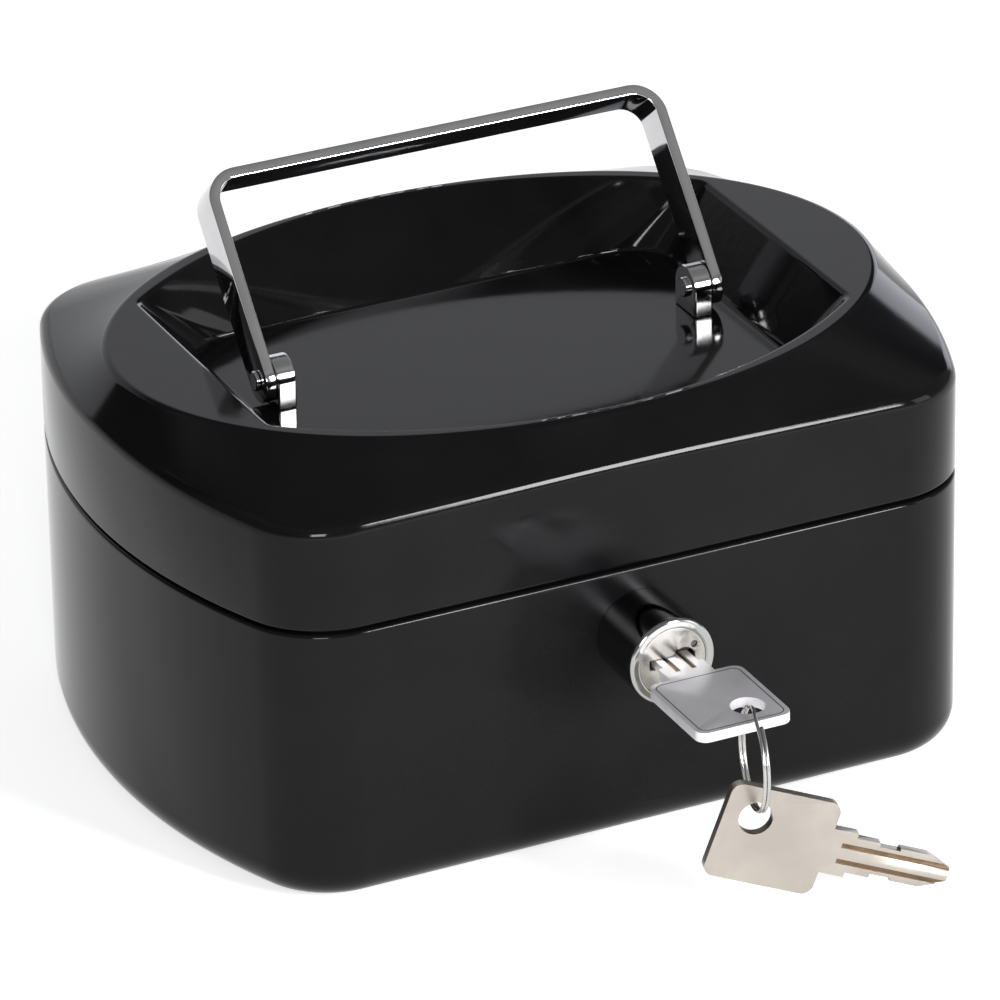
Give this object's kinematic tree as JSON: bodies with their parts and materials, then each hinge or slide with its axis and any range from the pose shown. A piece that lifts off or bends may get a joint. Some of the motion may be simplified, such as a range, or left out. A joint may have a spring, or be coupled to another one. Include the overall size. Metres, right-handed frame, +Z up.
{
  "type": "cash box",
  "caption": "Small lacquered steel cash box with bowed ends, hinged lid, sunk dish with a folding bail handle, cam lock with keys on a ring, and a lift-out coin tray.",
  "frame": {"origin": "middle of the box's flat bottom, on the surface it stands on", "axes": "+X along the length to the right seen from the lock, -Y out of the front wall that carries the lock, +Z up"},
  "size_m": [0.152, 0.1648, 0.103],
  "materials": {
    "box_lacquer": "high-gloss black lacquer",
    "handle_chrome": "polished chrome plate",
    "lock_chrome": "polished chrome plate",
    "plug_nickel": "satin nickel plate",
    "zinc_steel": "zinc plate",
    "key_nickel": "satin nickel plate",
    "ring_steel": "bright nickel plate",
    "tray_plastic": "matt black moulded plastic"
  },
  "bodies": {
    "base": {"base_shell": "box_lacquer", "hinge_leaf_base": "box_lacquer", "hinge_pin": "zinc_steel", "hinge_rivets_base": "box_lacquer", "lock_housing": "lock_chrome", "lock_nut": "zinc_steel", "coin_tray": "tray_plastic"},
    "lid": {"lid_shell": "box_lacquer", "hinge_leaf_lid": "box_lacquer", "hinge_rivets_lid": "box_lacquer", "lid_strike": "zinc_steel", "handle_lug_left": "handle_chrome", "handle_lug_right": "handle_chrome", "handle_pin_left": "handle_chrome", "handle_pin_right": "handle_chrome", "lug_washers": "zinc_steel"},
    "handle": {"handle_bail": "handle_chrome"},
    "plug": {"lock_plug": "plug_nickel", "lock_cam": "zinc_steel", "cam_screw": "zinc_steel"},
    "key_in_lock": {"key": "key_nickel"},
    "ring": {"key_ring": "ring_steel"},
    "spare": {"spare_key": "key_nickel"}
  },
  "joints": [
    {"name": "lid_hinge", "type": "hinge", "parent": "base", "child": "lid", "pos_m": [0, 0.05855, 0.05195], "axis": [-1, 0, 0], "range_deg": [0, 100]},
    {"name": "handle_fold", "type": "hinge", "parent": "lid", "child": "handle", "pos_m": [0, 0.002, 0.0722], "axis": [1, 0, 0], "range_deg": [-30, 117]},
    {"name": "lock_turn", "type": "hinge", "parent": "base", "child": "plug", "pos_m": [0, -0.056, 0.0393], "axis": [0, -1, 0], "range_deg": [0, 90]},
    {"name": "key_pull", "type": "slide", "parent": "plug", "child": "key_in_lock", "axis": [0, -1, 0], "range_m": [0, 0.018]},
    {"name": "ring_swing", "type": "hinge", "parent": "key_in_lock", "child": "ring", "pos_m": [0.00205, -0.09476, 0.03235], "axis": [0.9724, -0.2334, 0], "range_deg": [-60, 60]},
    {"name": "spare_key_swing", "type": "hinge", "parent": "ring", "child": "spare", "pos_m": [0.00205, -0.09476, 0.0215], "axis": [-0.2334, -0.9724, 0], "range_deg": [-8, 60]}
  ]
}
